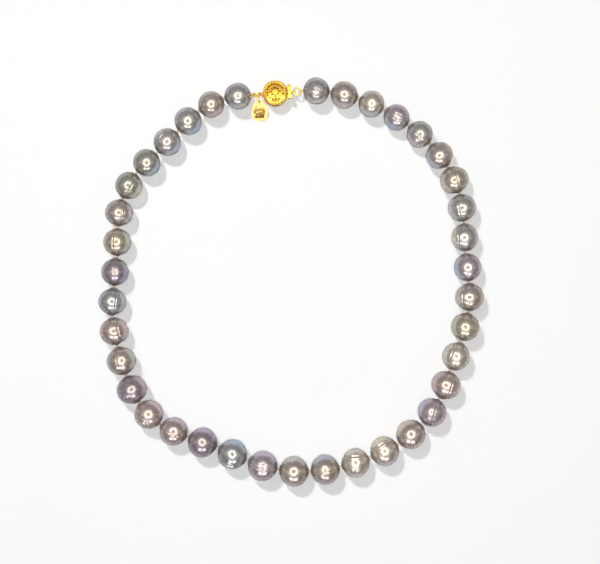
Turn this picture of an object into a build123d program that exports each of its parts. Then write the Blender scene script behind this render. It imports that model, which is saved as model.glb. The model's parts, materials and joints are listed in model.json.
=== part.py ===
from build123d import *
import math
import os

# A knotted strand of 38 ringed baroque pearls with a round filigree box clasp, lying closed and
# flat. Millimetres, +Z up, +Y towards the clasp. The origin is the bottom centre of the whole.

# ---- Pearls ----
# One pair per pearl, clockwise from the clasp's tongue side: its length along the drill hole and
# its width across it.
PEARLS = [
    (10.3, 10.5), (10.6, 10.6), (10.0, 10.6), (10.4, 10.1), (10.3, 10.6), (10.5, 11.1),
    (10.4, 11.4), (10.6, 11.1), (10.8, 10.6), (10.8, 10.9), (10.8, 11.4), (11.0, 11.5),
    (11.2, 11.1), (11.0, 11.6), (11.0, 11.4), (11.4, 11.3), (11.3, 11.7), (11.2, 11.8),
    (11.3, 12.0), (11.5, 12.2), (11.7, 12.1), (11.7, 12.0), (11.5, 11.8), (11.0, 11.4),
    (11.1, 11.5), (11.1, 12.0), (11.0, 11.4), (10.8, 11.4), (10.8, 11.2), (10.8, 10.8),
    (10.6, 10.8), (10.6, 11.0), (10.7, 10.6), (10.4, 10.7), (10.6, 10.9), (10.5, 10.8),
    (10.4, 10.4), (10.4, 10.5),
]
DRILL_HOLE_RADIUS = 0.45

# ---- Silk ----
KNOT_GAP = 0.7
KNOT_RADIUS = 0.48
THREAD_RADIUS = 0.2

# ---- The strand's route on the table ----
# Points along the middle of the strand, clockwise. The first and last are the mouths of the two
# end pearls' drill holes, which face the clasp.
TONGUE_SIDE_MOUTH = (4.87, 73.3)
CASE_SIDE_MOUTH = (-14.7, 71.65)
STRAND_ROUTE = [
    TONGUE_SIDE_MOUTH,
    (13.0, 73.5),
    (32.0, 68.0),
    (50.5, 56.5),
    (66.5, 29.5),
    (67.5, 13.0),
    (69.5, -8.5),
    (64.0, -29.0),
    (55.5, -50.0),
    (25.5, -70.0),
    (-10.5, -71.5),
    (-33.0, -62.0),
    (-44.5, -58.5),
    (-55.0, -51.5),
    (-65.0, -30.5),
    (-68.5, -16.0),
    (-66.5, 13.0),
    (-66.0, 28.0),
    (-62.5, 37.0),
    (-47.5, 53.0),
    (-31.5, 68.0),
    (-21.5, 71.5),
    CASE_SIDE_MOUTH,
]

# ---- Clasp casing, in its own frame: +X out of the mouth, +Z out of the front dome ----
CASE_CENTRE = (-5.65, 72.35, 4.0)
CASE_TURN = 5.5
CASE_TILT = 10.0
CASE_RADIUS = 4.65
DOME_TOP = 2.45
DOME_EDGE_THICKNESS = 0.15
DOME_THICKNESS = 0.4
ROPE_RADIUS = 0.25
ROPE_SEAT = 0.54
WALL_OUTER_RADIUS = 4.45
WALL_INNER_RADIUS = 3.95
WALL_HALF_HEIGHT = 0.95
MOUTH_HALF_WIDTH = 2.15
MOUTH_HALF_HEIGHT = 0.72
CATCH_BAR_RADIUS = 0.18
CATCH_BAR_X = 3.2
CATCH_BAR_Z = 0.8
CATCH_BAR_LENGTH = 4.5
END_LOOP_RADIUS = 0.78
END_LOOP_WIRE = 0.27
SOLDER_FOOT_RADIUS = 0.3

# Piercings of a dome: how many, how far out, how much farther out every second one is, length,
# width, and the turn from the radial line.
PIERCINGS = [
    (8, 1.45, 0.0, 1.05, 0.55, 0.0),
    (16, 2.95, 0.22, 0.85, 0.45, 24.0),
]

# ---- Tongue, in the casing's frame ----
LEAF_HALF_WIDTH = 1.5
FOLD_X = -2.4
LOWER_LEAF_BOTTOM = -0.62
LEAF_THICKNESS = 0.3
LOWER_LEAF_END = 5.2
NECK_HALF_WIDTH = 0.45
EYE_CENTRE = (7.1, 0.0, -0.2)
EYE_RADIUS = 0.66
EYE_WIRE = 0.24

# ---- Trigger: the sprung upper leaf and its thumb tab, in the casing's frame ----
UPPER_LEAF_BOTTOM = 0.12
UPPER_LEAF_HALF_WIDTH = 1.35
UPPER_LEAF_START_GAP = 0.06
UPPER_LEAF_END = 5.5
TOOTH_X = 2.55
TOOTH_LENGTH = 0.4
TOOTH_HEIGHT = 0.16
TAB_CLEARANCE = 0.17
TAB_THICKNESS = 0.85
TAB_LOBES = [(5.5, 1.85, 0.95), (5.35, 0.0, 0.95), (5.5, -1.85, 0.95)]

# ---- End rings and gimps ----
END_RING_RADIUS = 1.45
END_RING_WIRE = 0.28
GIMP_RADIUS = 0.66
GIMP_WIRE = 0.22
TONGUE_RING_RISE = 0.7
TONGUE_RING_TILT = 18.0
CASE_RING_RISE = 0.75
CASE_RING_TILT = 108.0

# ---- Tag ring and hang tag ----
TAG_RING_RADIUS = 1.85
TAG_RING_WIRE = 0.26
TAG_RING_HEIGHT = 2.15
TAG_RING_OFFSET = 0.35
TAG_RING_HEADING = -65.0
TAG_HOLE_RADIUS = 0.6
TAG_THICKNESS = 0.45
TAG_SMALL_RADIUS = 1.0
TAG_LARGE_RADIUS = 3.3
TAG_CENTRE_DISTANCE = 4.1
TAG_BULGE = 0.35
TAG_SLOPE = 13.5
TAG_TURN = 3.0


def total_length():
    """Pearls and knots in a row."""
    return sum(length for length, _ in PEARLS) + KNOT_GAP * (len(PEARLS) - 1)


def strand_joints():
    """The first mouth, every knot in turn and the last mouth, each in the plane of the table."""
    route = Spline(*STRAND_ROUTE)
    scale_to_route = route.length / total_length()
    distance = 0.0
    joints = [Vector(*TONGUE_SIDE_MOUTH)]
    for length, _ in PEARLS[:-1]:
        knot_distance = distance + length + KNOT_GAP / 2
        joints.append(route.position_at(knot_distance * scale_to_route, PositionMode.LENGTH))
        distance = knot_distance + KNOT_GAP / 2
    joints.append(Vector(*CASE_SIDE_MOUTH))
    return joints


def lift(point, height):
    return Vector(point.X, point.Y, height)


def resting_height(index):
    """A pearl stands on the table, and its drill hole runs through its middle."""
    return PEARLS[index][1] / 2


def pearl_centre(index):
    middle = (JOINTS[index] + JOINTS[index + 1]) / 2
    return lift(middle, resting_height(index))


def pearl(index):
    """A spheroid turned about its drill hole."""
    length, width = PEARLS[index]
    hole_angle = math.degrees(math.asin(2 * DRILL_HOLE_RADIUS / width))
    half_arc = 90 - hole_angle
    front = EllipticalCenterArc(
        (0, 0), length / 2, width / 2, start_angle=hole_angle, arc_size=half_arc
    )
    back = EllipticalCenterArc((0, 0), length / 2, width / 2, start_angle=90, arc_size=half_arc)
    hole_wall = Line(back @ 1, front @ 0)
    body = revolve(make_face([front, back, hole_wall]), Axis.X)
    along = JOINTS[index + 1] - JOINTS[index]
    return Plane(pearl_centre(index), x_dir=along, z_dir=(0, 0, 1)) * body


def knot_point(index):
    """Where the knot after a pearl lies, level with the drill holes beside it."""
    height = (resting_height(index) + resting_height(index + 1)) / 2
    return lift(JOINTS[index + 1], height)


def rod(start, end, radius):
    """A round rod from one point to another."""
    way = end - start
    return Plane(start, z_dir=way) * extrude(Circle(radius), way.length)


def knot(index):
    """A ball, turned so that its seam is clear of the thread."""
    along = JOINTS[index + 2] - JOINTS[index]
    across = along.cross(Vector(0, 0, 1))
    return Plane(knot_point(index), x_dir=across, z_dir=(0, 0, 1)) * Sphere(KNOT_RADIUS)


def silk_thread():
    """The one thread from end to end, with a knot after every pearl but the last.

    Each length of thread ends inside the knots beside it.
    """
    count = len(PEARLS)
    knots = [knot_point(index) for index in range(count - 1)]
    first = lift(JOINTS[0], resting_height(0))
    last = lift(JOINTS[-1], resting_height(count - 1))
    stops = [first] + knots + [last]
    silk = [knot(index) for index in range(count - 1)]
    for index, (start, end) in enumerate(zip(stops, stops[1:])):
        inset = (end - start).normalized() * (KNOT_RADIUS / 2)
        thread_start = start if index == 0 else start + inset
        thread_end = end if index == count - 1 else end - inset
        silk.append(rod(thread_start, thread_end, THREAD_RADIUS))
    return silk[0].fuse(*silk[1:])


def ring(centre, axis, radius, wire):
    return Plane(centre, z_dir=axis) * Torus(radius, wire)


def case_frame():
    turn = math.radians(CASE_TURN)
    tilt = math.radians(CASE_TILT)
    forward = Vector(math.cos(turn), math.sin(turn), 0)
    sideways = Vector(-math.sin(turn), math.cos(turn), 0)
    front = sideways * math.sin(tilt) + Vector(0, 0, math.cos(tilt))
    return Plane(CASE_CENTRE, x_dir=forward, z_dir=front)


def case_point(point):
    """A point of the casing's frame, in the necklace's frame."""
    return CASE.from_local_coords(Vector(*point))


def rope_height():
    return WALL_HALF_HEIGHT + ROPE_SEAT / 2


def dome_base():
    return WALL_HALF_HEIGHT + ROPE_SEAT


def dome():
    """A pierced spherical cap with a plain band round its edge."""
    base = dome_base()
    edge = base + DOME_EDGE_THICKNESS
    rise = DOME_TOP - edge
    outer_radius = (CASE_RADIUS**2 + rise**2) / (2 * rise)
    inner_radius = outer_radius - DOME_THICKNESS
    sphere_centre = DOME_TOP - outer_radius
    cap = Pos(0, 0, sphere_centre) * Sphere(outer_radius)
    cap -= Pos(0, 0, sphere_centre) * Sphere(inner_radius)
    slab_height = DOME_TOP - base
    cap &= Pos(0, 0, base + slab_height / 2) * Cylinder(CASE_RADIUS, slab_height)
    for count, distance, stagger, length, width, turn in PIERCINGS:
        for number in range(count):
            odd = number % 2
            reach = distance + stagger * odd
            heading = turn if odd else -turn
            hole = Rot(0, 0, heading) * extrude(Ellipse(length / 2, width / 2), 2 * DOME_TOP)
            cap -= Rot(0, 0, 360 * number / count) * Pos(reach, 0, 0) * hole
    return cap


def clasp_front_dome():
    return CASE * dome()


def clasp_back_dome():
    return CASE * Rot(180, 0, 0) * dome()


def clasp_wall():
    """The casing's wall, cut through by the tongue's mouth."""
    wall = Cylinder(WALL_OUTER_RADIUS, 2 * WALL_HALF_HEIGHT)
    wall -= Cylinder(WALL_INNER_RADIUS, 2 * WALL_HALF_HEIGHT)
    mouth = Box(CASE_RADIUS, 2 * MOUTH_HALF_WIDTH, 2 * MOUTH_HALF_HEIGHT)
    wall -= Pos(CASE_RADIUS / 2, 0, 0) * mouth
    return CASE * wall


def clasp_rope(side):
    """The rope edge between the wall and a dome, on side +1 or -1."""
    rope = Torus(CASE_RADIUS - ROPE_RADIUS - 0.02, ROPE_RADIUS)
    return CASE * Pos(0, 0, side * rope_height()) * rope


def clasp_catch_bar():
    bar = Rot(90, 0, 0) * Cylinder(CATCH_BAR_RADIUS, CATCH_BAR_LENGTH)
    return CASE * Pos(CATCH_BAR_X, 0, CATCH_BAR_Z) * bar


def end_loop_centre():
    return (-(WALL_OUTER_RADIUS + END_LOOP_RADIUS + END_LOOP_WIRE), 0, 0)


def clasp_end_loop():
    """The loop soldered to the wall opposite the mouth, with its foot."""
    loop = Pos(*end_loop_centre()) * Torus(END_LOOP_RADIUS, END_LOOP_WIRE)
    foot_length = 2 * END_LOOP_WIRE
    foot = Rot(0, 90, 0) * Cylinder(SOLDER_FOOT_RADIUS, foot_length)
    loop += Pos(-WALL_OUTER_RADIUS - END_LOOP_WIRE / 2, 0, 0) * foot
    loop -= Cylinder(WALL_OUTER_RADIUS, 2 * WALL_HALF_HEIGHT)
    return CASE * loop


def box_between(low, high):
    size = [high[axis] - low[axis] for axis in range(3)]
    middle = [(high[axis] + low[axis]) / 2 for axis in range(3)]
    return Pos(*middle) * Box(*size)


def tongue_leaf():
    """The lower leaf, its fold at the inner end and the neck that carries the eye."""
    lower_top = LOWER_LEAF_BOTTOM + LEAF_THICKNESS
    upper_top = UPPER_LEAF_BOTTOM + LEAF_THICKNESS
    leaf = box_between(
        (FOLD_X, -LEAF_HALF_WIDTH, LOWER_LEAF_BOTTOM),
        (LOWER_LEAF_END, LEAF_HALF_WIDTH, lower_top),
    )
    eye_edge = EYE_CENTRE[0] - EYE_RADIUS
    leaf += box_between(
        (LOWER_LEAF_END, -NECK_HALF_WIDTH, LOWER_LEAF_BOTTOM),
        (eye_edge, NECK_HALF_WIDTH, lower_top),
    )
    fold_middle = (LOWER_LEAF_BOTTOM + upper_top) / 2
    fold_outer = (upper_top - LOWER_LEAF_BOTTOM) / 2
    fold = Cylinder(fold_outer, 2 * LEAF_HALF_WIDTH)
    fold -= Cylinder(fold_outer - LEAF_THICKNESS, 2 * LEAF_HALF_WIDTH)
    fold = Pos(FOLD_X, 0, fold_middle) * Rot(90, 0, 0) * fold
    reach = 2 * fold_outer
    leaf += fold & Pos(FOLD_X - reach / 2, 0, fold_middle) * Box(reach, CASE_RADIUS, reach)
    leaf -= ring(EYE_CENTRE, (0, 1, 0), EYE_RADIUS, EYE_WIRE)
    return CASE * leaf


def tongue_eye():
    """The loop on the tongue's neck, square to the end ring that runs through it."""
    return ring(case_point(EYE_CENTRE), TONGUE_RING.tangent, EYE_RADIUS, EYE_WIRE)


def trigger_leaf():
    """The upper leaf, which springs on the fold, with the tooth behind the catch bar."""
    upper_top = UPPER_LEAF_BOTTOM + LEAF_THICKNESS
    leaf = box_between(
        (FOLD_X + UPPER_LEAF_START_GAP, -UPPER_LEAF_HALF_WIDTH, UPPER_LEAF_BOTTOM),
        (UPPER_LEAF_END, UPPER_LEAF_HALF_WIDTH, upper_top),
    )
    leaf += box_between(
        (TOOTH_X, -UPPER_LEAF_HALF_WIDTH, upper_top),
        (TOOTH_X + TOOTH_LENGTH, UPPER_LEAF_HALF_WIDTH, upper_top + TOOTH_HEIGHT),
    )
    return CASE * leaf


def thumb_tab():
    """A fan of three lobes that hugs the casing and sits on the upper leaf."""
    base = UPPER_LEAF_BOTTOM + LEAF_THICKNESS
    fan = Sketch()
    for x, y, radius in TAB_LOBES:
        fan += Pos(x, y) * Circle(radius)
    fan -= Circle(CASE_RADIUS + TAB_CLEARANCE)
    return CASE * Pos(0, 0, base) * extrude(fan, TAB_THICKNESS)


class RingSeat:
    """Where an end ring hangs: between a loop of the clasp and a gimp that is higher by a rise.

    The ring passes through both loops, square to them, and leans about its own long line.
    """

    def __init__(self, loop, mouth, rise, tilt):
        self.loop = loop
        span = 2 * END_RING_RADIUS
        level = Vector(mouth[0] - loop.X, mouth[1] - loop.Y, 0).normalized()
        self.gimp = loop + level * math.sqrt(span**2 - rise**2) + Vector(0, 0, rise)
        along = (self.gimp - loop).normalized()
        sideways = Vector(0, 0, 1).cross(along).normalized()
        upward = along.cross(sideways)
        lean = math.radians(tilt)
        self.along = along
        self.tangent = sideways * math.cos(lean) + upward * math.sin(lean)
        self.axis = along.cross(self.tangent)
        self.centre = (self.gimp + loop) / 2


def end_ring(seat):
    return ring(seat.centre, seat.axis, END_RING_RADIUS, END_RING_WIRE)


def gimp(seat):
    """The coiled wire loop round the thread's turn, drawn as one round loop."""
    return ring(seat.gimp, seat.tangent, GIMP_RADIUS, GIMP_WIRE)


def tag_ring_link():
    """The lowest point of the end ring that the tag ring hangs round."""
    return CASE_RING.centre - CASE_RING.tangent * END_RING_RADIUS


def tag_ring_heading():
    angle = math.radians(TAG_RING_HEADING)
    return Vector(math.cos(angle), math.sin(angle), 0)


def tag_ring_centre():
    return lift(tag_ring_link() + tag_ring_heading() * TAG_RING_OFFSET, TAG_RING_HEIGHT)


def tag_ring():
    axis = tag_ring_heading().cross(Vector(0, 0, 1))
    return ring(tag_ring_centre(), axis, TAG_RING_RADIUS, TAG_RING_WIRE)


def tag_hole():
    return tag_ring_centre() + tag_ring_heading() * TAG_RING_RADIUS


def tag_frame():
    """The tag's own frame: origin in its hole, +Y towards its narrow end, sloping to the table."""
    turn = math.radians(TAG_TURN)
    slope = math.radians(TAG_SLOPE)
    across = Vector(math.cos(turn), math.sin(turn), 0)
    up_the_tag = Vector(-math.sin(turn), math.cos(turn), 0)
    face = up_the_tag * -math.sin(slope) + Vector(0, 0, math.cos(slope))
    return Plane(tag_hole(), x_dir=across, z_dir=face)


def hang_tag():
    """A flat teardrop: a small and a large arc joined by two bulging sides."""
    spread = math.asin((TAG_LARGE_RADIUS - TAG_SMALL_RADIUS) / TAG_CENTRE_DISTANCE)
    out = math.cos(spread)
    up = math.sin(spread)
    top = Vector(TAG_SMALL_RADIUS * out, TAG_SMALL_RADIUS * up)
    side = Vector(TAG_LARGE_RADIUS * out, TAG_LARGE_RADIUS * up - TAG_CENTRE_DISTANCE)
    bulge = (top + side) / 2 + Vector(out, up) * TAG_BULGE
    edge = [
        ThreePointArc(top, bulge, side),
        ThreePointArc(side, (0, -TAG_CENTRE_DISTANCE - TAG_LARGE_RADIUS), (-side.X, side.Y)),
        ThreePointArc((-side.X, side.Y), (-bulge.X, bulge.Y), (-top.X, top.Y)),
        ThreePointArc((-top.X, top.Y), (0, TAG_SMALL_RADIUS), top),
    ]
    outline = make_face(edge) - Circle(TAG_HOLE_RADIUS)
    plate = extrude(outline, TAG_THICKNESS / 2, both=True)
    return tag_frame() * plate


JOINTS = strand_joints()
CASE = case_frame()
TONGUE_RING = RingSeat(
    case_point(EYE_CENTRE), TONGUE_SIDE_MOUTH, TONGUE_RING_RISE, TONGUE_RING_TILT
)
CASE_RING = RingSeat(
    case_point(end_loop_centre()), CASE_SIDE_MOUTH, CASE_RING_RISE, CASE_RING_TILT
)


def all_parts():
    parts = {}
    for index in range(len(PEARLS)):
        parts[f"pearl_{index + 1:02d}"] = pearl(index)
    parts["silk_thread"] = silk_thread()
    parts["gimp_tongue_side"] = gimp(TONGUE_RING)
    parts["gimp_case_side"] = gimp(CASE_RING)
    parts["end_ring_tongue_side"] = end_ring(TONGUE_RING)
    parts["end_ring_case_side"] = end_ring(CASE_RING)
    parts["clasp_wall"] = clasp_wall()
    parts["clasp_front_dome"] = clasp_front_dome()
    parts["clasp_back_dome"] = clasp_back_dome()
    parts["clasp_front_rope"] = clasp_rope(1)
    parts["clasp_back_rope"] = clasp_rope(-1)
    parts["clasp_catch_bar"] = clasp_catch_bar()
    parts["clasp_end_loop"] = clasp_end_loop()
    parts["tongue_leaf"] = tongue_leaf()
    parts["tongue_eye"] = tongue_eye()
    parts["trigger_leaf"] = trigger_leaf()
    parts["thumb_tab"] = thumb_tab()
    parts["tag_ring"] = tag_ring()
    parts["hang_tag"] = hang_tag()
    return parts


def centring(parts):
    """The move that puts the bottom centre of the whole at the origin."""
    boxes = [part.bounding_box() for part in parts.values()]
    middle_x = (min(box.min.X for box in boxes) + max(box.max.X for box in boxes)) / 2
    middle_y = (min(box.min.Y for box in boxes) + max(box.max.Y for box in boxes)) / 2
    return Vector(-middle_x, -middle_y, -min(box.min.Z for box in boxes))


PARTS = all_parts()
MOVE = centring(PARTS)
os.makedirs("parts", exist_ok=True)
for name, part in PARTS.items():
    export_step(Pos(*MOVE) * part, f"parts/{name}.step")
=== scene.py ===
import json
import math

import bmesh
import bpy
import numpy as np
from mathutils import Matrix, Vector

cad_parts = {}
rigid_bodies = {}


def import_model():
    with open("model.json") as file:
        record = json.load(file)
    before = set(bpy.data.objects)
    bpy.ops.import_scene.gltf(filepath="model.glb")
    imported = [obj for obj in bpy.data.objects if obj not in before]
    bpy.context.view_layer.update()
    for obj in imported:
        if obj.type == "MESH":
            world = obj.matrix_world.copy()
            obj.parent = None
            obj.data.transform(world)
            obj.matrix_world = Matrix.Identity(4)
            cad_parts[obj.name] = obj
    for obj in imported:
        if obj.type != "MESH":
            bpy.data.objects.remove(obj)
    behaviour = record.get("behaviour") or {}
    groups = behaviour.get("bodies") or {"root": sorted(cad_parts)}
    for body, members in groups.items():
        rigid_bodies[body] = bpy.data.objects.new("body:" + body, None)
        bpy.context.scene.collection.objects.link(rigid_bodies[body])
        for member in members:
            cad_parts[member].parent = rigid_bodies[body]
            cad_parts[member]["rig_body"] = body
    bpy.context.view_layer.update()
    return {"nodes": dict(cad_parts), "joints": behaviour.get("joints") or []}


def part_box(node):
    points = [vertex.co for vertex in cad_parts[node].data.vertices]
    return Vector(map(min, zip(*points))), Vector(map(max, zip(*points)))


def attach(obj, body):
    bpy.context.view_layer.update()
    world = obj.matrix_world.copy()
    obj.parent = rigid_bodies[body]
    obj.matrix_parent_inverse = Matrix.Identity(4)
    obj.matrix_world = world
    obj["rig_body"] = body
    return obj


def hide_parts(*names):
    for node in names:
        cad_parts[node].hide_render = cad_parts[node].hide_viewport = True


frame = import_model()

# A knotted strand of ringed baroque pearls, lying closed on a white table, with a filigree box
# clasp and a hang tag. Lengths in this script are millimetres unless a name says otherwise.

MM = 0.001
JOINTS = {joint["name"]: joint for joint in frame["joints"]}

# ---- Pearls ----
PEARL_COUNT = 38
DRILL_HOLE = 0.45
ROWS_ALONG = 92
COLUMNS_ROUND = 176
FAINT, FINE, CLEAR, DEEP = 0.04, 0.09, 0.19, 0.36
RING_WIDTH = 0.045

# Nacre colours, as sRGB out of 255: the body of the pearl, then the overtones painted on its
# sides, which are partly the nacre's own overtone and partly a painted coloured reflection at the
# rim.
BODY = {
    "taupe": (148, 139, 133),
    "khaki": (151, 143, 130),
    "mauve": (147, 139, 143),
    "grey": (145, 142, 140),
    "rose": (151, 138, 135),
    "plum": (131, 122, 127),
    "olive": (138, 136, 128),
    "pale": (162, 154, 146),
    "slate": (137, 139, 142),
}
OVERTONE_SHEEN = {
    "blue": (158, 190, 224),
    "lilac": (196, 184, 220),
    "violet": (176, 160, 204),
    "pink": (214, 182, 190),
    "peach": (222, 188, 168),
    "cream": (232, 218, 186),
    "green": (184, 204, 186),
    "silver": (206, 203, 199),
}

# One line per pearl, clockwise from the clasp's tongue side: body colour, overtone painted as
# sheen on the side towards the inside of the loop, the same towards the outside, the growth rings
# as (place across the strand from -1 inside to +1 outside, depth), and the turn of the rings in
# degrees.
PEARLS = [
    ("grey", "silver", "lilac", [(-0.12, CLEAR)], -14),
    ("taupe", "silver", "cream", [], 0),
    ("pale", "blue", "silver", [], 4),
    ("mauve", "blue", "pink", [(-0.15, CLEAR), (-0.3, FINE), (0.1, FINE)], 6),
    ("grey", "pink", "green", [(-0.5, CLEAR), (-0.3, FINE), (-0.62, FINE)], -5),
    ("taupe", "blue", "cream", [(0.6, CLEAR)], 3),
    ("khaki", "silver", "green", [(0.1, FINE)], -7),
    ("grey", "silver", "lilac", [(-0.35, FINE), (-0.7, FINE)], 5),
    ("grey", "cream", "silver", [(-0.6, DEEP)], 0),
    ("mauve", "blue", "pink", [], 2),
    ("taupe", "green", "cream", [(-0.6, CLEAR)], -4),
    ("khaki", "green", "silver", [(0.45, CLEAR), (0.65, CLEAR)], 5),
    ("pale", "silver", "green", [(-0.5, CLEAR)], -3),
    ("rose", "pink", "cream", [(0.35, CLEAR), (0.5, FINE), (0.65, CLEAR)], 4),
    ("mauve", "lilac", "peach", [(0.05, DEEP)], 17),
    ("rose", "cream", "cream", [], 0),
    ("pale", "cream", "lilac", [(-0.55, DEEP)], 3),
    ("pale", "silver", "lilac", [(-0.5, DEEP), (0.35, FINE)], -12),
    ("taupe", "blue", "lilac", [(-0.05, FINE), (0.1, FINE)], 3),
    ("taupe", "silver", "lilac", [], 0),
    ("mauve", "lilac", "pink", [(-0.15, FINE), (0.0, FINE), (0.15, CLEAR)], 2),
    ("slate", "blue", "green", [(0.62, DEEP)], 8),
    ("plum", "lilac", "violet", [], 0),
    ("rose", "lilac", "pink", [(0.2, FINE)], -6),
    ("rose", "pink", "silver", [(0.4, CLEAR), (0.55, CLEAR)], 4),
    ("plum", "pink", "blue", [(0.4, FINE), (0.55, CLEAR), (0.7, FINE)], 5),
    ("taupe", "green", "blue", [(0.1, FINE)], -8),
    ("rose", "pink", "peach", [(-0.45, DEEP)], 3),
    ("slate", "silver", "lilac", [(-0.3, FINE), (-0.45, CLEAR), (-0.6, FINE)], -4),
    ("plum", "violet", "peach", [(-0.05, CLEAR)], 3),
    ("khaki", "green", "silver", [(0.05, CLEAR)], -3),
    ("taupe", "lilac", "violet", [(-0.35, FINE), (-0.5, CLEAR)], 5),
    ("olive", "cream", "blue", [(-0.4, CLEAR)], 0),
    ("olive", "blue", "lilac", [], 0),
    ("grey", "blue", "silver", [(0.5, CLEAR)], 4),
    ("grey", "blue", "lilac", [(0.45, FINE)], -5),
    ("taupe", "pink", "cream", [(0.4, CLEAR)], 3),
    ("grey", "silver", "pink", [(0.0, FAINT)], 0),
]

# Hollows, by pearl: the direction they face in the pearl's frame, depth and width as shares of
# the pearl's half width.
DENTS = {
    1: ((-0.5, 0.1, 0.86), 0.035, 0.3),
    22: ((0.5, 0.45, 0.74), 0.04, 0.34),
    27: ((0.1, 0.25, 0.96), 0.03, 0.38),
}

# ---- Silk ----
THREAD_RADIUS = 0.2
KNOT_CORE = 0.205
KNOT_TWIST = 0.1025
KNOT_THREAD = 0.165
KNOT_REACH = 1.3

# ---- Clasp, in the casing's frame ----
CASE_RADIUS = 4.65
DOME_TOP = 2.45
DOME_EDGE = 1.64
WALL_RADIUS = 4.45
WALL_HALF_HEIGHT = 0.95
ROPE_BASE, ROPE_TOP = WALL_HALF_HEIGHT, 1.49
FLUTES, FLUTE_RADIUS, FLUTE_SLANT = 44, 0.13, 4.0
MOUTH_CLEAR_ANGLE, LOOP_CLEAR_ANGLE = 34, 170
# A dark sheet inside each dome, behind the piercings, is painted shade.
SHADE_SHEET_RADIUS, SHADE_SHEET_BOTTOM, SHADE_SHEET_TOP = 3.9, 1.22, 1.3
# Dome faces whose normals lean further than this from the dome's axis take dark gold as painted
# shade.
SHADE_FACE_STEEPNESS = 75
HIDDEN_LEAF_END = 4.3
ROPE_RADIUS = 4.38
ROPE_STRAND = 0.125
ROPE_TURNS = 64
PETALS, PETAL_DISTANCE, PETAL_LENGTH, PETAL_WIDTH = 8, 1.45, 1.05, 0.55
LEAVES, LEAF_DISTANCE, LEAF_LENGTH, LEAF_WIDTH = 16, 2.95, 0.85, 0.45
LEAF_STAGGER, LEAF_TURN = 0.22, 24.0

# ---- Wire rings ----
GIMP_WIRE = 0.05
GIMP_TURNS = 38

# ---- Camera, light and table, in metres but for the table and the sensor ----
CAMERA_X = 0.00347
PEARL_HEIGHT = 0.0055
CAMERA_DISTANCE = 0.55
VIEW_WIDTH = 0.2307
SENSOR_MM = 36.0
RING_LIGHTS, RING_LIGHT_REACH, RING_LIGHT_HEIGHT = 20, 0.25, 0.56
SKY_SHEET_SIZE = 2.6
TABLE_REACH = 1600.0
TABLE_WHITENESS = 0.58


def linear(colour):
    """An sRGB colour out of 255, as linear light."""
    shares = [channel / 255 for channel in colour]
    return tuple(c / 12.92 if c <= 0.04045 else ((c + 0.055) / 1.055) ** 2.4 for c in shares)


def rgba(colour):
    return (*linear(colour), 1.0)


# ---------------------------------------------------------------- materials


class Nodes:
    """A material's node tree, with short calls for adding and joining nodes."""

    def __init__(self, name):
        self.material = bpy.data.materials.new(name)
        self.material.use_nodes = True
        self.tree = self.material.node_tree
        self.shader = self.tree.nodes["Principled BSDF"]
        self.coordinates = self.tree.nodes.new("ShaderNodeTexCoord")

    def add(self, kind, **values):
        node = self.tree.nodes.new("ShaderNode" + kind)
        for key, value in values.items():
            if hasattr(node, key):
                setattr(node, key, value)
            else:
                node.inputs[key.replace("_", " ")].default_value = value
        return node

    def join(self, output, target):
        self.tree.links.new(output, target)

    def set(self, **values):
        for key, value in values.items():
            self.shader.inputs[key.replace("_", " ")].default_value = value

    def noise(self, scale, detail=3.0, roughness=0.5, vector=None):
        node = self.add("TexNoise", Scale=scale, Detail=detail, Roughness=roughness)
        self.join(vector or self.coordinates.outputs["Object"], node.inputs["Vector"])
        return node.outputs["Fac"]

    def remap(self, value, low, high, to_low=0.0, to_high=1.0, smooth=True):
        node = self.add("MapRange")
        node.interpolation_type = "SMOOTHSTEP" if smooth else "LINEAR"
        self.join(value, node.inputs["Value"])
        for key, number in zip(("From Min", "From Max", "To Min", "To Max"),
                               (low, high, to_low, to_high)):
            node.inputs[key].default_value = number
        return node.outputs["Result"]

    def along(self, direction):
        """The piece's own coordinate along a direction, in metres."""
        node = self.add("VectorMath", operation="DOT_PRODUCT")
        self.join(self.coordinates.outputs["Object"], node.inputs[0])
        node.inputs[1].default_value = direction
        return node.outputs["Value"]

    def mix(self, share, first, second):
        """A colour between two, each a colour or another node's output."""
        node = self.add("Mix", data_type="RGBA")
        self.join(share, node.inputs[0])
        for colour, socket in ((first, node.inputs[6]), (second, node.inputs[7])):
            if isinstance(colour, tuple):
                socket.default_value = colour
            else:
                self.join(colour, socket)
        return node.outputs[2]

    def product(self, first, second):
        node = self.add("Math", operation="MULTIPLY")
        self.join(first, node.inputs[0])
        if isinstance(second, float):
            node.inputs[1].default_value = second
        else:
            self.join(second, node.inputs[1])
        return node.outputs[0]

    def bump(self, height, strength, distance, after=None):
        node = self.add("Bump", Strength=strength, Distance=distance)
        self.join(height, node.inputs["Height"])
        if after:
            self.join(after, node.inputs["Normal"])
        return node.outputs["Normal"]


def shade(colour, factor):
    return tuple(min(1.0, channel * factor) for channel in linear(colour)) + (1.0,)


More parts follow.
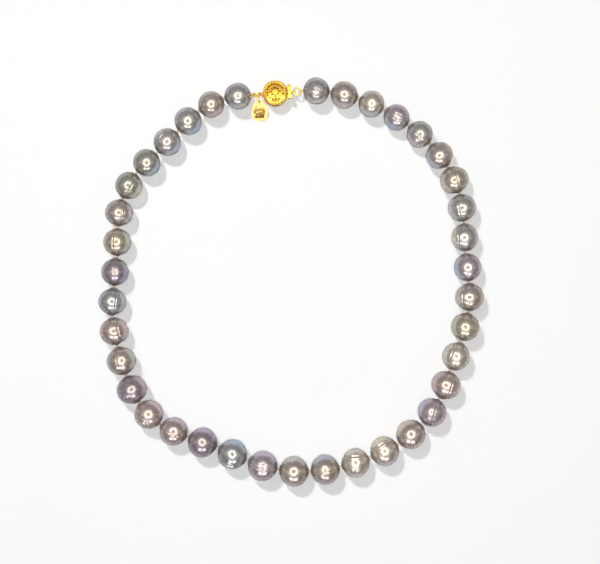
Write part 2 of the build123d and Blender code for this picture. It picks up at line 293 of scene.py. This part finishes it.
def nacre(name, body, inner, outer, radius):
    """Pearl: a satin body, overtone patches painted on the sides as coloured rim sheen, fine
    growth lines under a clear coat.
    """
    nodes = Nodes(name)
    mottle = nodes.remap(nodes.noise(260.0, 4.0), 0.35, 0.68)
    colour = nodes.mix(mottle, shade(BODY[body], 1.04), shade(BODY[body], 1.3))
    cloud = nodes.noise(120.0, 2.0)
    # The overtone patches are painted sheen: the nacre's overtone together with the coloured
    # reflection at its rim.
    for tone, side in ((inner, -1.0), (outer, 1.0)):
        reach = nodes.along((0.0, side / radius, -0.12 / radius))
        patch = nodes.remap(reach, 0.42, 1.0)
        uneven = nodes.remap(cloud, 0.3, 0.62, 0.55, 1.0)
        strength = nodes.product(nodes.product(patch, uneven), 0.5 if side < 0 else 0.38)
        colour = nodes.mix(strength, colour, rgba(OVERTONE_SHEEN[tone]))
    nodes.join(colour, nodes.shader.inputs["Base Color"])
    lines = nodes.add("TexWave", wave_type="BANDS", bands_direction="Y", Scale=950.0,
                      Distortion=2.2, Detail=2.0)
    nodes.join(nodes.coordinates.outputs["Object"], lines.inputs["Vector"])
    satin = nodes.bump(lines.outputs["Fac"], 0.10, 0.00001)
    satin = nodes.bump(nodes.noise(900.0, 3.0), 0.10, 0.00004, satin)
    nodes.join(satin, nodes.shader.inputs["Normal"])
    nodes.join(nodes.remap(nodes.noise(520.0, 3.0), 0.3, 0.7, 0.22, 0.31),
               nodes.shader.inputs["Roughness"])
    nodes.set(Metallic=0.66, Coat_Weight=0.16, Coat_Roughness=0.07, Coat_IOR=1.5,
              Specular_Tint=(0.6, 0.6, 0.64, 1.0))
    return nodes.material


def gold(name, light, dark, roughness, metal=0.74, grain=1400.0, depth=0.00002):
    """Polished gold plate: warm, slightly uneven, with fine handling marks."""
    nodes = Nodes(name)
    tone = nodes.remap(nodes.noise(grain, 4.0), 0.35, 0.65)
    nodes.join(nodes.mix(tone, rgba(dark), rgba(light)), nodes.shader.inputs["Base Color"])
    nodes.join(nodes.remap(nodes.noise(grain * 2.3, 3.0), 0.3, 0.7, roughness * 0.75,
                           roughness * 1.3), nodes.shader.inputs["Roughness"])
    nodes.join(nodes.bump(nodes.noise(grain * 1.6, 4.0), 0.25, depth),
               nodes.shader.inputs["Normal"])
    nodes.set(Metallic=metal)
    return nodes.material


def brushed_gold(name, light, dark, direction, roughness, metal=0.7):
    """Gold with fine brush lines across a direction."""
    nodes = Nodes(name)
    stretch = nodes.add("Mapping")
    stretch.inputs["Scale"].default_value = direction
    nodes.join(nodes.coordinates.outputs["Object"], stretch.inputs["Vector"])
    lines = nodes.noise(1.0, 3.0, 0.6, stretch.outputs["Vector"])
    tone = nodes.remap(lines, 0.36, 0.66)
    nodes.join(nodes.mix(tone, rgba(dark), rgba(light)), nodes.shader.inputs["Base Color"])
    nodes.join(nodes.remap(lines, 0.3, 0.7, roughness * 0.8, roughness * 1.25),
               nodes.shader.inputs["Roughness"])
    nodes.join(nodes.bump(lines, 0.3, 0.00002), nodes.shader.inputs["Normal"])
    nodes.set(Metallic=metal)
    return nodes.material


def silk(name):
    """Beige silk with its twist showing, the grooves of the twist painted darker as shade."""
    nodes = Nodes(name)
    twist = nodes.add("TexWave", wave_type="BANDS", bands_direction="DIAGONAL", Scale=2600.0,
                      Distortion=1.2, Detail=2.0)
    nodes.join(nodes.coordinates.outputs["Object"], twist.inputs["Vector"])
    fibre = twist.outputs["Fac"]
    # Darker colour in the low bands of the twist is painted shade.
    nodes.join(nodes.mix(fibre, rgba((176, 142, 104)), rgba((232, 208, 172))),
               nodes.shader.inputs["Base Color"])
    nodes.join(nodes.bump(fibre, 0.5, 0.00005), nodes.shader.inputs["Normal"])
    nodes.join(nodes.remap(fibre, 0.0, 1.0, 0.72, 0.5), nodes.shader.inputs["Roughness"])
    nodes.set(Sheen_Weight=0.4, Sheen_Roughness=0.4)
    return nodes.material


# ---------------------------------------------------------------- mesh tools


def make_piece(name, parts, materials, matrix=None, smooth_angle=None):
    """One mesh object from (points in mm, faces, material index) parts."""
    mesh = bpy.data.meshes.new(name)
    points, faces, slots = [], [], []
    for part_points, part_faces, slot_index in parts:
        start = len(points)
        points += [tuple(p) for p in np.asarray(part_points, float) * MM]
        faces += [tuple(int(start + i) for i in face) for face in part_faces]
        slots += [slot_index] * len(part_faces)
    mesh.from_pydata(points, [], faces)
    for material in materials:
        mesh.materials.append(material)
    mesh.polygons.foreach_set("material_index", slots)
    mesh.polygons.foreach_set("use_smooth", [True] * len(faces))
    if smooth_angle is not None:
        mesh.set_sharp_from_angle(angle=math.radians(smooth_angle))
    mesh.update()
    piece = bpy.data.objects.new(name, mesh)
    bpy.context.scene.collection.objects.link(piece)
    if matrix is not None:
        piece.matrix_world = matrix
    return piece


def grid_faces(rows, columns, wrap_rows):
    """Faces of a grid of points whose columns run round; rows may run round too."""
    faces = []
    for row in range(rows if wrap_rows else rows - 1):
        below, above = row * columns, (row + 1) % rows * columns
        for column in range(columns):
            beside = (column + 1) % columns
            faces.append((below + column, below + beside, above + beside, above + column))
    return faces


def tube(path, radius, sides=8, closed=False, outward=None):
    """A round tube along a path. outward gives a steady direction at each point."""
    path = np.asarray(path, float)
    count = len(path)
    if closed:
        tangent = np.roll(path, -1, 0) - np.roll(path, 1, 0)
    else:
        tangent = np.gradient(path, axis=0)
    tangent /= np.linalg.norm(tangent, axis=1)[:, None]
    if outward is None:
        outward = np.zeros_like(path)
        guide = np.array((0.0, 0.0, 1.0)) if abs(tangent[0][2]) < 0.9 else np.array((1.0, 0, 0))
        for index in range(count):
            guide = guide - tangent[index] * (guide @ tangent[index])
            guide /= np.linalg.norm(guide)
            outward[index] = guide
    outward = np.asarray(outward, float)
    outward = outward - tangent * np.sum(outward * tangent, axis=1)[:, None]
    outward /= np.linalg.norm(outward, axis=1)[:, None]
    beside = np.cross(tangent, outward)
    turn = np.linspace(0, 2 * math.pi, sides, endpoint=False)
    size = np.broadcast_to(np.asarray(radius, float), (count,))[:, None, None]
    ring = outward[:, None] * np.cos(turn)[:, None] + beside[:, None] * np.sin(turn)[:, None]
    points = (path[:, None] + ring * size).reshape(-1, 3)
    faces = [face[::-1] for face in grid_faces(count, sides, closed)]
    if not closed:
        faces.append(tuple(reversed(range(sides))))
        faces.append(tuple(range((count - 1) * sides, count * sides)))
    return points, faces


def ball(centre, radius, rings=8, sides=12, squash=1.0):
    """A small ball, or a flattened one."""
    points, faces = [], []
    for ring in range(1, rings):
        angle = math.pi * ring / rings
        for side in range(sides):
            turn = 2 * math.pi * side / sides
            points.append((math.sin(angle) * math.cos(turn), math.sin(angle) * math.sin(turn),
                           math.cos(angle) * squash))
    faces = grid_faces(rings - 1, sides, False)
    faces = [face[::-1] for face in faces]
    top, bottom = len(points), len(points) + 1
    points += [(0, 0, squash), (0, 0, -squash)]
    last = (rings - 2) * sides
    for side in range(sides):
        beside = (side + 1) % sides
        faces.append((top, side, beside))
        faces.append((bottom, last + beside, last + side))
    return np.array(points) * radius + np.array(centre, float), faces


def lathe(profile, sides=128):
    """A closed profile of (radius, height) points turned about Z."""
    turn = np.linspace(0, 2 * math.pi, sides, endpoint=False)
    points = [(r * math.cos(a), r * math.sin(a), z) for r, z in profile for a in turn]
    return np.array(points), grid_faces(len(profile), sides, True)


def outward_faces(piece):
    """Turns every face of a closed mesh outwards."""
    work = bmesh.new()
    work.from_mesh(piece.data)
    bmesh.ops.recalc_face_normals(work, faces=work.faces)
    work.to_mesh(piece.data)
    work.free()
    return piece


def placed(part, matrix):
    """A part's points moved by a matrix whose offset is in millimetres."""
    points, faces = part
    move = np.array(matrix)
    return points @ move[:3, :3].T + move[:3, 3], faces


def turned(part, degrees):
    return placed(part, Matrix.Rotation(math.radians(degrees), 4, "Z"))


# ---------------------------------------------------------------- frames read from the CAD model


def joint_point(name):
    return Vector(JOINTS[name]["pos_m"])


def box_centre(node):
    low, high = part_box(node)
    return (low + high) / 2


def node_points(node):
    return np.array([vertex.co for vertex in frame["nodes"][node].data.vertices])


def axes(origin, x_dir, z_dir):
    """A placing matrix from an origin and two directions."""
    z_dir = Vector(z_dir).normalized()
    y_dir = z_dir.cross(Vector(x_dir)).normalized()
    x_dir = y_dir.cross(z_dir)
    matrix = Matrix((x_dir, y_dir, z_dir)).transposed().to_4x4()
    matrix.translation = Vector(origin)
    return matrix


def body_of(node):
    return frame["nodes"][node]["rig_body"]


def knot_point(number):
    """The middle of the knot after a pearl, found on the CAD thread."""
    between = (box_centre(f"pearl_{number:02d}") + box_centre(f"pearl_{number + 1:02d}")) / 2
    near = np.linalg.norm(THREAD_POINTS - np.array(between), axis=1) < KNOT_REACH * MM
    knot = THREAD_POINTS[near]
    return Vector((knot.min(0) + knot.max(0)) / 2)


def pearl_frame(number):
    """A pearl's frame: X along the drill hole, clockwise, and Y out of the loop."""
    centre = box_centre(f"pearl_{number:02d}")
    if number < PEARL_COUNT:
        ahead = knot_point(number) - centre
    else:
        ahead = centre - knot_point(number - 1)
    ahead.z = 0
    return axes(centre, ahead, (0, 0, 1))


def case_frame():
    front, back = box_centre("clasp_front_rope"), box_centre("clasp_back_rope")
    sideways = Vector(JOINTS["trigger_press"]["axis"])
    return axes((front + back) / 2, sideways.cross(front - back), front - back)


def flat_frame(node):
    """The frame of a flat or ring-shaped node: its centre, with Z as its thinnest direction."""
    points = node_points(node)
    centre = np.array(box_centre(node))
    directions = np.linalg.svd(points - points.mean(0), full_matrices=False)[2]
    facing = Vector(directions[2])
    if facing.z < 0:
        facing.negate()
    return axes(centre, directions[0], facing)


def ring_size(node, matrix):
    """Middle radius and wire radius of a ring node."""
    local = (node_points(node) - np.array(matrix.translation)) @ np.array(matrix)[:3, :3]
    wire = np.abs(local[:, 2]).max()
    outside = np.hypot(local[:, 0], local[:, 1]).max()
    return (outside - wire) / MM, wire / MM


CASE = case_frame()
THREAD_POINTS = node_points("silk_thread")


# ---------------------------------------------------------------- pearls


def ease(value, low, high):
    share = np.clip((value - low) / (high - low), 0, 1)
    return share * share * (3 - 2 * share)


def pearl_points(half_length, half_width, rings, turn, number):
    """A drilled spheroid with growth rings and the slow unevenness of a baroque pearl."""
    chance = np.random.RandomState(number)
    first = math.asin(DRILL_HOLE / half_width)
    from_end = np.linspace(first, math.pi - first, ROWS_ALONG)[:, None]
    around = np.linspace(0, 2 * math.pi, COLUMNS_ROUND, endpoint=False)[None]
    way = np.stack([np.cos(from_end) + 0 * around, np.sin(from_end) * np.cos(around),
                    np.sin(from_end) * np.sin(around)], -1)
    shift = np.zeros(way.shape[:2])
    for size, waves in ((0.010, 1.3), (0.006, 2.4), (0.0025, 4.5)):
        for _ in range(3):
            direction = chance.normal(size=3)
            direction *= waves / np.linalg.norm(direction)
            shift += size * np.sin(way @ direction + chance.uniform(0, 6.28)) - size * 0.6
    angle = math.radians(turn)
    lean = chance.uniform(-0.1, 0.1)
    ring_axis = np.array((-math.sin(angle), math.cos(angle), lean))
    ring_axis /= np.linalg.norm(ring_axis)
    place = way @ ring_axis
    swirl = np.arctan2(way @ np.cross(ring_axis, (0, 0, 1.0)), way[..., 2])
    for position, depth in rings:
        wander = 0.02 * np.sin(swirl + chance.uniform(0, 6.28))
        fade = 0.72 + 0.28 * np.sin(swirl + chance.uniform(0, 6.28))
        away = (place - position - wander) / RING_WIDTH
        groove = np.exp(-away ** 2) - 0.35 * np.exp(-(np.abs(away) - 2.2) ** 2)
        shift -= depth / half_width * fade * groove
    if number in DENTS:
        facing, depth, width = DENTS[number]
        shift -= depth * np.exp(-(np.linalg.norm(way - facing, axis=-1) / width) ** 2)
    shift *= ease(np.sin(from_end), 0.12, 0.34)
    shift = np.minimum(shift, 0.006)
    sizes = np.array((half_length, half_width, half_width))
    points = way * (1 + shift[..., None]) * sizes
    lip = []
    for side, row in ((-1, points[-1]), (1, points[0])):
        for depth, share in ((0.06, 0.97), (0.25, 0.93)):
            inner = row * np.array((1, share, share))
            inner[:, 0] = row[:, 0] - side * depth
            lip.append(inner)
    rows = [*points, lip[0], lip[1], lip[3], lip[2]]
    return np.concatenate(rows), grid_faces(len(rows), COLUMNS_ROUND, True)


def build_pearl(number):
    node = f"pearl_{number:02d}"
    body, inner, outer, rings, turn = PEARLS[number - 1]
    matrix = pearl_frame(number)
    local = (node_points(node) - np.array(matrix.translation)) @ np.array(matrix)[:3, :3]
    half_width = np.abs(local[:, 2]).max() / MM
    half_length = np.abs(local[:, 0]).max() / MM / math.cos(math.asin(DRILL_HOLE / half_width))
    material = nacre(f"nacre_{number:02d}", body, inner, outer, half_width * MM)
    part = pearl_points(half_length, half_width, rings, turn, number)
    pearl = make_piece(f"nacre_pearl_{number:02d}", [(*part, 0)], [material], matrix)
    outward_faces(pearl)
    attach(pearl, body_of(node))
    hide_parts(node)
    return half_length


def knot_part(point, ahead):
    """A tight overhand knot, as three lobes of thread wound round the strand."""
    turn = np.linspace(0, 2 * math.pi, 72, endpoint=False)
    reach = KNOT_CORE + KNOT_TWIST * np.cos(3 * turn)
    ring = np.stack([reach * np.cos(2 * turn), reach * np.sin(2 * turn),
                     KNOT_TWIST * 1.5 * np.sin(3 * turn)], -1)
    outward = np.stack([np.cos(3 * turn) * np.cos(2 * turn), np.cos(3 * turn) * np.sin(2 * turn),
                        np.sin(3 * turn)], -1)
    part = tube(ring, KNOT_THREAD, 10, True, outward)
    matrix = axes(Vector(point) / MM, (0, 0, 1), ahead)
    return placed(part, matrix)


def build_silk(number, half_length, material):
    """The thread inside one pearl, and the knot after it."""
    matrix = pearl_frame(number)
    ahead = matrix.col[0].to_3d()
    centre = matrix.translation / MM
    before = centre - ahead * (half_length + 0.1)
    after = centre + ahead * (half_length + 0.1)
    parts = []
    if number > 1:
        before = knot_point(number - 1) / MM
        before.z = (before.z + centre.z) / 2
    if number < PEARL_COUNT:
        knot_at = knot_point(number)
        after = knot_at / MM
        parts.append((*knot_part(knot_at, ahead), 0))
    path = [before.lerp(after, share) for share in np.linspace(0, 1, 5)]
    parts.append((*tube(path, THREAD_RADIUS, 12), 0))
    thread = make_piece(f"silk_{number:02d}", parts, [material])
    outward_faces(thread)
    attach(thread, body_of(f"pearl_{number:02d}"))
    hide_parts("silk_thread")


def build_strand():
    material = silk("beige_silk")
    for number in range(1, PEARL_COUNT + 1):
        half_length = build_pearl(number)
        build_silk(number, half_length, material)


# ---------------------------------------------------------------- rings and gimps


def circle(radius, count):
    turn = np.linspace(0, 2 * math.pi, count, endpoint=False)
    return np.stack([radius * np.cos(turn), radius * np.sin(turn), 0 * turn], -1), turn


def build_ring(node, material, seam):
    """A jump ring of round wire with its soldered seam."""
    matrix = flat_frame(node)
    radius, wire = ring_size(node, matrix)
    path, turn = circle(radius, 96)
    away = np.abs((turn - seam + math.pi) % (2 * math.pi) - math.pi)
    thickness = wire * (0.985 + 0.03 * np.exp(-(away / 0.10) ** 2)
                        - 0.10 * np.exp(-(away / 0.018) ** 2))
    part = tube(path, thickness, 20, True, path)
    ring = make_piece(f"{node}_wire", [(*part, 0)], [material], matrix)
    outward_faces(ring)
    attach(ring, body_of(node))
    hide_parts(node)


def build_gimp(node, material):
    """French wire: a fine coil bent round into a loop."""
    matrix = flat_frame(node)
    radius, outer = ring_size(node, matrix)
    coil = outer - GIMP_WIRE
    turn = np.linspace(0, 2 * math.pi, GIMP_TURNS * 12, endpoint=False)
    wind = turn * GIMP_TURNS
    reach = radius + coil * np.cos(wind)
    path = np.stack([reach * np.cos(turn), reach * np.sin(turn), coil * np.sin(wind)], -1)
    outward = np.stack([np.cos(wind) * np.cos(turn), np.cos(wind) * np.sin(turn),
                        np.sin(wind)], -1)
    part = tube(path, GIMP_WIRE, 6, True, outward)
    core_path, _ = circle(radius, 48)
    core = tube(core_path, coil * 0.8, 8, True, core_path)
    gimp = make_piece(f"{node}_coil", [(*part, 0), (*core, 0)], [material], matrix)
    outward_faces(gimp)
    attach(gimp, body_of(node))
    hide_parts(node)


# ---------------------------------------------------------------- clasp


def dome_height(radius):
    """Height of a dome's outside at a distance from its middle."""
    rise = DOME_TOP - DOME_EDGE
    sphere = (CASE_RADIUS ** 2 + rise ** 2) / (2 * rise)
    return DOME_TOP - sphere + math.sqrt(sphere ** 2 - radius ** 2)


def on_dome(x, y, above=0.0):
    return (x, y, dome_height(math.hypot(x, y)) + above)


def wire_outline(distance, length, width, heading, wire, point=0.0):
    """A closed wire round a piercing, drawn out to a tip when point is above 0."""
    path = []
    for turn in np.linspace(0, 2 * math.pi, 40, endpoint=False):
        tip = 1 + point * math.cos(turn) ** 5
        x = (length / 2 + wire) * math.cos(turn) * tip
        y = (width / 2 + wire) * math.sin(turn) * (1 - 0.25 * point * math.cos(turn))
        angle = math.radians(heading)
        path.append(on_dome(distance + x * math.cos(angle) - y * math.sin(angle),
                            x * math.sin(angle) + y * math.cos(angle)))
    return tube(path, wire, 8, True, [(0, 0, 1)] * len(path))


def filigree():
    """The raised work on a dome: wires round the piercings, veins, grains, boss and rim."""
    parts = []
    for number in range(PETALS):
        petal = wire_outline(PETAL_DISTANCE, PETAL_LENGTH, PETAL_WIDTH, 0.0, 0.066, 0.12)
        parts.append(turned(petal, 360 * number / PETALS))
        vein = tube([on_dome(r, 0.0) for r in np.linspace(0.45, 2.35, 12)], 0.07, 8)
        parts.append(turned(vein, 360 * (number + 0.5) / PETALS))
        grain = ball(on_dome(2.32, 0.0, 0.02), 0.15)
        parts.append(turned(grain, 360 * number / PETALS))
    for number in range(LEAVES):
        distance = LEAF_DISTANCE + (LEAF_STAGGER if number % 2 else 0.0)
        heading = LEAF_TURN if number % 2 else -LEAF_TURN
        leaf = wire_outline(distance, LEAF_LENGTH, LEAF_WIDTH, heading, 0.06, 0.1)
        parts.append(turned(leaf, 360 * number / LEAVES))
        grain = ball(on_dome(3.62, 0.0), 0.11)
        parts.append(turned(grain, 360 * (number + 0.5) / LEAVES))
    for number in range(8):
        parts.append(turned(ball(on_dome(0.52, 0.0), 0.1), 45.0 * number + 22.5))
    parts.append(ball(on_dome(0.0, 0.0, -0.02), 0.24, 12, 20, 0.8))
    rim = [(radius, dome_height(radius) + height) for radius, height in (
        (3.86, -0.08), (3.86, 0.03), (3.92, 0.10), (4.02, 0.135), (4.2, 0.14), (4.38, 0.11),
        (4.52, 0.05), (4.6, -0.03), (4.64, -0.12), (4.4, -0.14))]
    parts.append(lathe(rim[::-1], 160))
    return parts


def rope_parts(height):
    """Two strands of wire twisted together round the casing."""
    parts = []
    turn = np.linspace(0, 2 * math.pi, ROPE_TURNS * 12, endpoint=False)
    for phase in (0.0, math.pi):
        wind = turn * ROPE_TURNS / 2 + phase
        reach = ROPE_RADIUS + ROPE_STRAND * np.cos(wind)
        path = np.stack([reach * np.cos(turn), reach * np.sin(turn),
                         height + ROPE_STRAND * np.sin(wind)], -1)
        outward = np.stack([np.cos(wind) * np.cos(turn), np.cos(wind) * np.sin(turn),
                            np.sin(wind)], -1)
        parts.append(tube(path, ROPE_STRAND, 8, True, outward))
    return parts


def wall_flutes():
    """Slanting half-round wires on the wall, all round but for the mouth and the end loop."""
    parts = []
    for number in range(FLUTES):
        angle = 360 * number / FLUTES
        from_mouth = abs((angle + 180) % 360 - 180)
        if from_mouth < MOUTH_CLEAR_ANGLE or from_mouth > LOOP_CLEAR_ANGLE:
            continue
        path = []
        for share in np.linspace(-1, 1, 9):
            around = math.radians(share * FLUTE_SLANT)
            path.append((WALL_RADIUS * math.cos(around), WALL_RADIUS * math.sin(around),
                         share * (WALL_HALF_HEIGHT - 0.06)))
        flute = tube(path, FLUTE_RADIUS, 8, False, [(1, 0, 0)] * len(path))
        parts.append(turned(flute, angle))
    return parts


def ride_case(name, parts, material, replaced=(), matrix=None):
    piece = make_piece(name, [(*part, 0) for part in parts], [material], matrix or CASE)
    outward_faces(piece)
    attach(piece, "clasp_case")
    if replaced:
        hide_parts(*replaced)
    return piece


def carried(node, material, dark=None, is_dark=None):
    """Keeps a CAD node on show with a better material, and a dark one, painted shade, on its
    hidden faces.
    """
    node_object = frame["nodes"][node]
    mesh = node_object.data
    mesh.materials.clear()
    mesh.materials.append(material)
    if dark:
        mesh.materials.append(dark)
        inverse = CASE.inverted()
        turn = inverse.to_3x3()
        for polygon in mesh.polygons:
            point = inverse @ polygon.center / MM
            polygon.material_index = 1 if is_dark(point, turn @ polygon.normal) else 0


def rounded_copy(node, name, material, edge, body, dark=None, is_dark=None):
    """A copy of a CAD node with clean flat faces and rounded edges, and dark painted shade where
    it is hidden.
    """
    work = bmesh.new()
    work.from_mesh(frame["nodes"][node].data)
    bmesh.ops.remove_doubles(work, verts=work.verts, dist=0.000002)
    bmesh.ops.dissolve_limit(work, angle_limit=math.radians(1.0), verts=work.verts,
                             edges=work.edges)
    sharp = [e for e in work.edges if len(e.link_faces) == 2 and e.calc_face_angle() > 0.6]
    bmesh.ops.bevel(work, geom=sharp, offset=edge * MM, segments=3, profile=0.6,
                    affect="EDGES", clamp_overlap=True)
    mesh = bpy.data.meshes.new(name)
    work.to_mesh(mesh)
    work.free()
    mesh.materials.append(material)
    for polygon in mesh.polygons:
        polygon.use_smooth = True
    mesh.set_sharp_from_angle(angle=math.radians(50))
    if dark:
        mesh.materials.append(dark)
        inverse = CASE.inverted()
        for polygon in mesh.polygons:
            hidden = is_dark(inverse @ polygon.center / MM)
            polygon.material_index = 1 if hidden else 0
    piece = bpy.data.objects.new(name, mesh)
    bpy.context.scene.collection.objects.link(piece)
    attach(piece, body)
    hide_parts(node)
    return piece


def build_shade_sheets(material):
    """A dark sheet behind the piercings of each dome: painted shade inside the casing."""
    middle = 0.001
    profile = [(middle, SHADE_SHEET_BOTTOM), (SHADE_SHEET_RADIUS, SHADE_SHEET_BOTTOM), (SHADE_SHEET_RADIUS, SHADE_SHEET_TOP),
               (middle, SHADE_SHEET_TOP)]
    for side in (-1, 1):
        sheet = lathe([(radius, side * height) for radius, height in profile], 48)
        ride_case(f"dome_shade_sheet_{side + 1}", [sheet], material)


def build_clasp(bright, brushed, painted_shade):
    # Faces inside the casing, and the whole catch bar, take near-black gold: painted shade.
    top = math.cos(math.radians(SHADE_FACE_STEEPNESS))
    carried("clasp_front_dome", bright, painted_shade, lambda point, facing: facing.z < top)
    carried("clasp_back_dome", bright, painted_shade, lambda point, facing: facing.z > -top)
    carried("clasp_wall", bright, painted_shade,
            lambda point, facing: point.xy.length < WALL_RADIUS - 0.1)
    carried("clasp_catch_bar", painted_shade)
    ride_case("filigree_front", filigree(), bright)
    build_shade_sheets(painted_shade)
    back = CASE @ Matrix.Rotation(math.pi, 4, "X")
    ride_case("filigree_back", filigree(), bright, matrix=back)
    height = (ROPE_BASE + ROPE_TOP) / 2
    ride_case("rope_front", rope_parts(height), bright, ["clasp_front_rope"])
    ride_case("rope_back", rope_parts(-height), bright, ["clasp_back_rope"])
    ride_case("wall_flutes", wall_flutes(), bright)
    carried("clasp_end_loop", bright)
    # The leaves' parts inside the casing take the near-black gold as painted shade.
    inside = lambda point: point.x < HIDDEN_LEAF_END
    rounded_copy("tongue_leaf", "tongue_leaf_strip", bright, 0.06, "clasp_tongue",
                 painted_shade, inside)
    rounded_copy("trigger_leaf", "trigger_leaf_strip", bright, 0.05, "clasp_trigger",
                 painted_shade, inside)
    rounded_copy("thumb_tab", "thumb_tab_fan", brushed, 0.2, "clasp_trigger")


# ---------------------------------------------------------------- hang tag


def fan_lines():
    """The engraving: a small open fan of ribs over two curved lines, in the tag's frame."""
    paths = []
    foot = np.array((0.0, -5.2))
    for angle in (-52, -35, -17, 0, 17, 35, 52):
        way = np.array((math.sin(math.radians(angle)), math.cos(math.radians(angle))))
        paths.append([foot + way * reach for reach in np.linspace(0.55, 2.25, 8)])
    for reach in (2.25, 0.55):
        arc = np.radians(np.linspace(-60, 60, 22))
        paths.append([foot + reach * np.array((math.sin(a), math.cos(a))) for a in arc])
    wave = np.linspace(-1.7, 1.7, 22)
    paths.append([np.array((x, -5.75 + 0.12 * math.sin(3.2 * x))) for x in wave])
    return paths


def build_tag(satin, engraving_shade):
    tag = rounded_copy("hang_tag", "hang_tag_plate", satin, 0.09, "hang_tag")
    face = flat_frame("hang_tag").col[2].to_3d()
    sideways = -Vector(JOINTS["tag_lift"]["axis"])
    matrix = axes(joint_point("tag_lift") / MM, sideways, face)
    points = node_points("hang_tag") / MM
    local = (points - np.array(matrix.translation)) @ np.array(matrix)[:3, :3]
    surface = local[:, 2].max()
    parts = []
    for path in fan_lines():
        line = [(x, y, surface) for x, y in path]
        parts.append((*placed(tube(line, 0.075, 8, False, [(0, 0, 1)] * len(line)), matrix), 0))
    cutters = []
    for index, part in enumerate(parts):
        cutter = make_piece(f"cutter_{index}", [part], [engraving_shade])
        outward_faces(cutter)
        cutters.append(cutter)
    # The grooves take the dark gold: painted shade in the engraving.
    tag.data.materials.append(engraving_shade)
    for cutter in cutters:
        cut = tag.modifiers.new("engraving", "BOOLEAN")
        cut.operation = "DIFFERENCE"
        cut.object = cutter
        cut.solver = "EXACT"
        cut.material_mode = "TRANSFER"
    bpy.context.view_layer.update()
    graph = bpy.context.evaluated_depsgraph_get()
    carved = bpy.data.meshes.new_from_object(tag.evaluated_get(graph))
    tag.modifiers.clear()
    tag.data = carved
    for cutter in cutters:
        bpy.data.objects.remove(cutter)


# ---------------------------------------------------------------- stage, light and camera


def plain(name, colour, roughness=0.9):
    nodes = Nodes(name)
    nodes.set(Base_Color=(colour, colour, colour, 1.0), Roughness=roughness,
              Specular_IOR_Level=0.0)
    return nodes.material


def build_stage():
    corners = [(x * TABLE_REACH, y * TABLE_REACH, 0)
               for x, y in ((-1, -1), (1, -1), (1, 1), (-1, 1))]
    table = plain("white_table", TABLE_WHITENESS)
    floor = make_piece("table", [(corners, [(0, 1, 2, 3)], 0)], [table])


def area_light(name, place, size, power, colour=(1, 1, 1), glossy=True, diffuse=True,
               height_size=None, target=(0, 0, 0)):
    light = bpy.data.lights.new(name, "AREA")
    light.shape = "RECTANGLE" if height_size else "DISK"
    light.size = size
    if height_size:
        light.size_y = height_size
    light.energy = power
    light.color = colour
    lamp = bpy.data.objects.new(name, light)
    bpy.context.scene.collection.objects.link(lamp)
    lamp.location = place
    lamp.rotation_mode = "QUATERNION"
    lamp.rotation_quaternion = (Vector(target) - Vector(place)).to_track_quat("-Z", "Y")
    lamp.visible_glossy = glossy
    lamp.visible_diffuse = diffuse
    lamp.visible_camera = False
    return lamp


def build_lights():
    """A fill above the camera and a side light for the shadows, which nothing reflects.

    A ring, two soft boxes and a sheet overhead are only reflected. Two strips do both.
    """
    area_light("fill", (CAMERA_X, 0.0, 0.9), 0.05, 7.4, glossy=False)
    area_light("shadow_light", (-0.62, 1.05, 1.75), 0.16, 30.0, glossy=False)
    for number in range(RING_LIGHTS):
        angle = 2 * math.pi * number / RING_LIGHTS
        place = (CAMERA_X + RING_LIGHT_REACH * math.cos(angle),
                 RING_LIGHT_REACH * math.sin(angle), RING_LIGHT_HEIGHT)
        area_light(f"ring_{number:02d}", place, 0.09, 0.27, (1.0, 0.9, 0.74), diffuse=False,
                   target=(CAMERA_X, 0, 0))
    area_light("soft_box_left", (-0.2, -0.62, 0.42), 0.26, 1.7, height_size=0.2,
               diffuse=False)
    area_light("soft_box_right", (0.17, -0.66, 0.4), 0.26, 1.7, height_size=0.2,
               diffuse=False)
    for side in (-1, 1):
        area_light(f"strip_{side + 1}", (side * 0.62, 0.0, 0.42), 0.05, 0.18, (1.0, 0.84, 0.55),
                   height_size=0.4)
    area_light("sky_sheet", (CAMERA_X, 0.0, 1.3), SKY_SHEET_SIZE, 8.0,
               height_size=SKY_SHEET_SIZE, diffuse=False)
    world = bpy.data.worlds.new("studio")
    world.use_nodes = True
    world.node_tree.nodes["Background"].inputs["Color"].default_value = (0.2, 0.2, 0.208, 1)
    bpy.context.scene.world = world


def build_camera():
    camera = bpy.data.cameras.new("camera")
    camera.sensor_width = SENSOR_MM
    camera.lens = SENSOR_MM * CAMERA_DISTANCE / VIEW_WIDTH
    camera.clip_start = 0.01
    holder = bpy.data.objects.new("camera", camera)
    bpy.context.scene.collection.objects.link(holder)
    holder.location = (CAMERA_X, 0.0, PEARL_HEIGHT + CAMERA_DISTANCE)
    bpy.context.scene.camera = holder
    bpy.context.scene.view_settings.view_transform = "Standard"


# ---------------------------------------------------------------- the whole

bright_gold = gold("bright_gold", (246, 200, 84), (226, 168, 52), 0.2)
wire_gold = gold("wire_gold", (255, 214, 96), (244, 188, 64), 0.16)
gimp_gold = gold("gimp_gold", (240, 214, 150), (214, 178, 108), 0.3)
# Near-black gold for what lies inside the casing: painted shade.
inner_shade_gold = gold("painted_shade_gold", (34, 23, 7), (16, 10, 3), 0.7)
tab_gold = brushed_gold("tab_gold", (255, 216, 110), (222, 166, 60), (900, 9000, 900), 0.26)
satin_gold = brushed_gold("satin_gold", (226, 190, 116), (210, 168, 88), (1600, 9000, 1600), 0.36)
# Dark gold for the engraved grooves: painted shade.
engraving_shade_gold = gold("engraving_shade_gold", (92, 74, 52), (58, 46, 34), 0.6)

build_strand()
for gimp_node in ("gimp_tongue_side", "gimp_case_side"):
    build_gimp(gimp_node, gimp_gold)
build_ring("end_ring_tongue_side", wire_gold, 2.0)
build_ring("end_ring_case_side", wire_gold, 1.0)
build_ring("tag_ring", wire_gold, 0.5)
build_ring("tongue_eye", wire_gold, 3.0)
build_clasp(bright_gold, tab_gold, inner_shade_gold)
build_tag(satin_gold, engraving_shade_gold)
build_stage()
build_lights()
build_camera()
